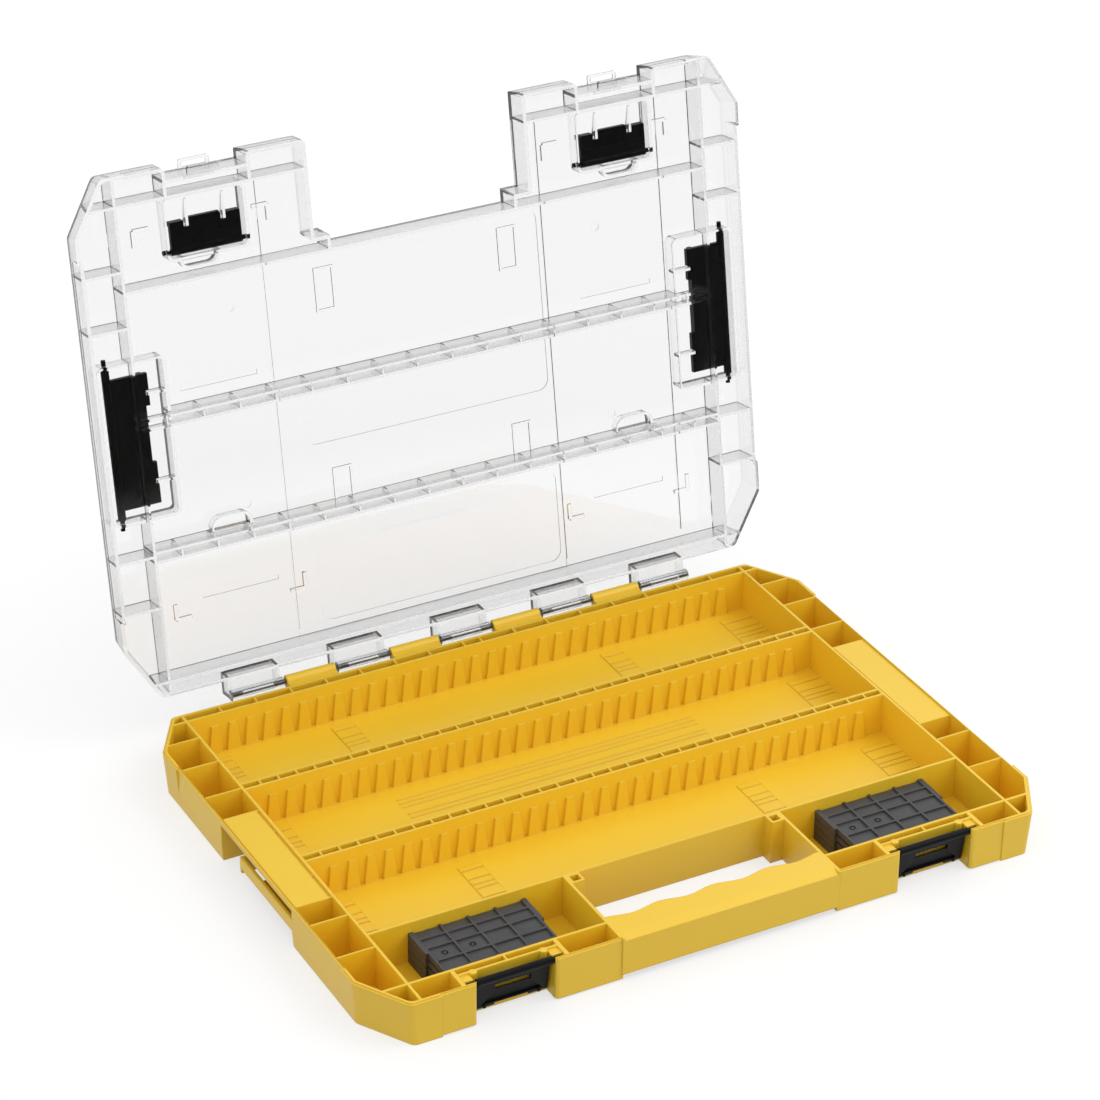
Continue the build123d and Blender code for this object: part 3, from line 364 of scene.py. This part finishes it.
for side in ("left", "right"):
    body = f"divider_{side}_{TOP_DIVIDER}"
    low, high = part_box(body)
    first_column = low[0] + TAB_REACH + RIB_WIDTH / 2
    column = (high[0] - low[0] - 2 * TAB_REACH - RIB_WIDTH) / COLUMNS
    for k in range(RINGS_PER_DIVIDER):
        place = (first_column + (k + 0.5) * column, high[1] - RING_FROM_REAR, low[2] + WEB_TOP)
        ring = turned(f"tool_ring_{side}_{k + 1}", RING_PROFILE, place)
        ring.data.materials.append(divider_finish.material)
        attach(ring, body)
print("tool rings on the top dividers")

# %% [markdown]
# Above each latch the lid's outer face ends in a small loop, a flat bar bent round a window. It stands
# just above the notch in the shut latch's foot, so that the two don't meet. Its sizes are given as on
# the shut lid, in millimetres from the tray's front edge, because that is how a drawing would give them.
# One function swings each point about the hinge to where the open lid holds it. The frame between two
# rounded rectangles is bridged face by face, and a Bevel modifier softens its edges.

# %% Latch loops on the lid
TRAY_DEPTH = 274.5
HINGE_Y = 282.0
HINGE_Z = 21.8
OPEN_ANGLE = math.radians(100)
LOOP_CENTRE_X = 115.6
LOOP_LOW = 38.85
LOOP_HIGH = 39.8
# Half width, nearest and farthest place from the tray's front edge, and corner radius.
LOOP_OUTER = (8.4, 1.3, 6.8, 1.4)
LOOP_WINDOW = (6.5, 2.8, 5.4, 0.5)
LOOP_CORNER_STEPS = 5
LOOP_EDGE = 0.2
LOOP_EDGE_SEGMENTS = 2


def swung_open(x, y, z):
    """A point of the shut lid, where the open lid holds it, in metres."""
    along, above = y - HINGE_Y, z - HINGE_Z
    open_y = HINGE_Y + along * math.cos(OPEN_ANGLE) + above * math.sin(OPEN_ANGLE)
    open_z = HINGE_Z - along * math.sin(OPEN_ANGLE) + above * math.cos(OPEN_ANGLE)
    return (x * MM, (open_y - TRAY_DEPTH / 2) * MM, open_z * MM)


def rounded_frame(half_width, near, far, radius):
    """Points round a rounded rectangle about x = 0, in order."""
    centres = ((half_width - radius, far - radius, 0), (radius - half_width, far - radius, 90),
               (radius - half_width, near + radius, 180), (half_width - radius, near + radius, 270))
    points = []
    for x, y, start in centres:
        for k in range(LOOP_CORNER_STEPS + 1):
            turn = math.radians(start + 90 * k / LOOP_CORNER_STEPS)
            points.append((x + radius * math.cos(turn), y + radius * math.sin(turn)))
    return points


def latch_loop(name, centre_x):
    """The flat loop at one latch, as a closed mesh."""
    shape = bmesh.new()
    rings = []
    for outline, z in ((LOOP_OUTER, LOOP_LOW), (LOOP_OUTER, LOOP_HIGH),
                       (LOOP_WINDOW, LOOP_HIGH), (LOOP_WINDOW, LOOP_LOW)):
        rings.append([shape.verts.new(swung_open(centre_x + x, y, z))
                      for x, y in rounded_frame(*outline)])
    for ring, following in zip(rings, rings[1:] + rings[:1]):
        for k in range(len(ring)):
            beyond = (k + 1) % len(ring)
            shape.faces.new((ring[k], ring[beyond], following[beyond], following[k]))
    made = new_piece(name, shape)
    soften = made.modifiers.new("soft_edges", "BEVEL")
    soften.width = LOOP_EDGE * MM
    soften.segments = LOOP_EDGE_SEGMENTS
    return made


for side, sign in (("left", -1), ("right", 1)):
    loop = latch_loop(f"latch_loop_{side}", sign * LOOP_CENTRE_X)
    loop.data.materials.append(lid_finish.material)
    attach(loop, "lid")
print("latch loops on the lid")

# %% [markdown]
# The photograph was taken in a white studio. The floor is a wide plane that shows white to the camera
# and straight through the lid, yet still lets the box shade it softly. After a mirror bounce it is white
# near the box and behind it, and dim far out in front. Without that dim part every black piece behind
# the lid would turn grey under the lid's reflection of a bright floor. Light that has scattered off a
# matt face meets the floor's plain colour alone, so the added white never lights the object.

# %% White floor
FLOOR_HALF = 8.0
FLOOR_BELOW = 0.0002
FLOOR_ALBEDO = 0.36
FLOOR_FAR_ALBEDO = 0.04
FLOOR_ROUGHNESS = 0.9
PAPER_REACH = 0.22
PAPER_END = 0.60
REAR_FROM = 0.05
REAR_TO = 0.35
# The count of a ray's bounces is over this once there is one, and under it when there is none.
NO_BOUNCE = 0.5


def ray_facts(finish, *names):
    """What the Light Path node knows of the ray that meets this finish."""
    rays = finish.node("ShaderNodeLightPath")
    return [Value(finish, rays.outputs[name]) for name in names]


def eased(finish, number, start, end, first, last):
    """A number that turns smoothly from first to last while another goes from start to end."""
    inputs = {"Value": number, "From Min": start, "From Max": end, "To Min": first, "To Max": last}
    return finish.value("ShaderNodeMapRange", {"interpolation_type": "SMOOTHSTEP"}, inputs)


def depth_in(finish, vector):
    """How far along Y a place or direction is."""
    return finish.value("ShaderNodeSeparateXYZ", None, {0: vector}, output="Y")


floor_mesh = bpy.data.meshes.new("studio_floor")
corners = [(-FLOOR_HALF, -FLOOR_HALF, 0), (FLOOR_HALF, -FLOOR_HALF, 0),
           (FLOOR_HALF, FLOOR_HALF, 0), (-FLOOR_HALF, FLOOR_HALF, 0)]
floor_mesh.from_pydata(corners, [], [(0, 1, 2, 3)])
floor = bpy.data.objects.new("studio_floor", floor_mesh)
floor.location.z = solid_box[0][2] - FLOOR_BELOW
bpy.context.collection.objects.link(floor)

floor_finish = Finish("studio_white", Roughness=FLOOR_ROUGHNESS, Specular_IOR_Level=0.0)
camera_ray, glossy_ray, through_ray, bounces, scatters = ray_facts(
    floor_finish, "Is Camera Ray", "Is Glossy Ray", "Is Transmission Ray", "Glossy Depth", "Diffuse Depth")
distance = floor_finish.value("ShaderNodeVectorMath", {"operation": "LENGTH"},
                              {0: places(floor_finish)}, output="Value")
paper = eased(floor_finish, distance, PAPER_REACH, PAPER_END, 1.0, 0.0)
rear = eased(floor_finish, depth_in(floor_finish, places(floor_finish)), REAR_FROM, REAR_TO, 0.0, 1.0)
mirrored_white = floor_finish.math("MAXIMUM", paper, rear)
bounced = bounces > NO_BOUNCE
straight = scatters < NO_BOUNCE
seen = floor_finish.math("MAXIMUM", camera_ray, through_ray * straight * (1 - bounced))
mirror_ray = glossy_ray * straight * bounced
floor_finish.set(Base_Color=blend(floor_finish, paper, (FLOOR_FAR_ALBEDO,) * 3, (FLOOR_ALBEDO,) * 3),
                 Emission_Color=(seen + mirror_ray * mirrored_white) * (1 - paper * FLOOR_ALBEDO),
                 Emission_Strength=1.0)
floor_mesh.materials.append(floor_finish.material)
print("floor at z", round(floor.location.z, 5))

# %% [markdown]
# The light is a bright, even room with one large soft box high on the right. A studio is white behind
# the object and dim behind the camera, and glossy black and clear parts show that plainly: their faces
# mirror the dim side, and ribs in the lid draw grey lines. So the world has two looks. What lights matt
# surfaces is even all round. What is only mirrored or refracted fades from white at the back to grey at
# the front. The camera itself sees white.

# %% Studio light
ROOM_LIGHT = 0.95
FRONT_GREY = 0.22
FADE_FROM = -0.20
FADE_TO = 0.35
KEY_PLACE = (1.0, -0.6, 1.3)
KEY_TARGET = (0, 0, 0.05)
KEY_SIZE = 0.9
KEY_WATTS = 6.5


class RoomTree(Finish):
    """The world's own node tree, spoken to in the same way as a finish."""

    def __init__(self, world):
        world.use_nodes = True
        self.tree = world.node_tree
        self.shader = self.tree.nodes["Background"]


def soft_box(name, place, target, size, watts):
    """A large square lamp that looks at a point."""
    lamp = bpy.data.lights.new(name, "AREA")
    lamp.shape = "SQUARE"
    lamp.size = size
    lamp.energy = watts
    holder = bpy.data.objects.new(name, lamp)
    holder.location = place
    holder.rotation_euler = (Vector(target) - Vector(place)).to_track_quat("-Z", "Y").to_euler()
    bpy.context.collection.objects.link(holder)


world = bpy.data.worlds.new("studio_room")
bpy.context.scene.world = world
room = RoomTree(world)
camera_ray, glossy_ray, through_ray, scatters = ray_facts(
    room, "Is Camera Ray", "Is Glossy Ray", "Is Transmission Ray", "Diffuse Depth")
direction = room.value("ShaderNodeTexCoord", output="Generated")
fade = eased(room, depth_in(room, direction), FADE_FROM, FADE_TO, FRONT_GREY, 1.0)
mirrored = room.math("MAXIMUM", glossy_ray, through_ray) * (scatters < NO_BOUNCE)
plain = ROOM_LIGHT + camera_ray * (1 - ROOM_LIGHT)
room.set(Color=(1, 1, 1, 1), Strength=plain + mirrored * (fade - plain))
soft_box("key_box", KEY_PLACE, KEY_TARGET, KEY_SIZE, KEY_WATTS)
print("room light", ROOM_LIGHT)

# %% [markdown]
# The camera stands where the photographer's did. Its place, direction and lens were solved from the
# tray's corners and the even spacing of its ribs. They are given here in metres, degrees and
# millimetres of lens, and the camera's axes are built from the three angles, so that its slight roll
# is kept.

# %% Camera
CAMERA_PLACE = Vector((-0.8064, -1.42765, 1.0956))
CAMERA_AZIMUTH = math.radians(-28.655)
CAMERA_TILT = math.radians(30.045)
CAMERA_ROLL = math.radians(0.6935)
LENS_MM = 127.68
SENSOR_MM = 36.0

forward = Vector((-math.sin(CAMERA_AZIMUTH) * math.cos(CAMERA_TILT),
                  math.cos(CAMERA_AZIMUTH) * math.cos(CAMERA_TILT), -math.sin(CAMERA_TILT)))
level_right = Vector((math.cos(CAMERA_AZIMUTH), math.sin(CAMERA_AZIMUTH), 0))
level_up = level_right.cross(forward)
right = level_right * math.cos(CAMERA_ROLL) + level_up * math.sin(CAMERA_ROLL)
up = level_up * math.cos(CAMERA_ROLL) - level_right * math.sin(CAMERA_ROLL)

camera_data = bpy.data.cameras.new("photo_camera")
camera_data.lens = LENS_MM
camera_data.sensor_width = SENSOR_MM
camera = bpy.data.objects.new("photo_camera", camera_data)
camera.matrix_world = Matrix((
    (right.x, up.x, -forward.x, CAMERA_PLACE.x),
    (right.y, up.y, -forward.y, CAMERA_PLACE.y),
    (right.z, up.z, -forward.z, CAMERA_PLACE.z),
    (0, 0, 0, 1)))
bpy.context.collection.objects.link(camera)
bpy.context.scene.camera = camera
bpy.context.scene.view_settings.view_transform = "Standard"
print("camera looks along", [round(v, 3) for v in forward])
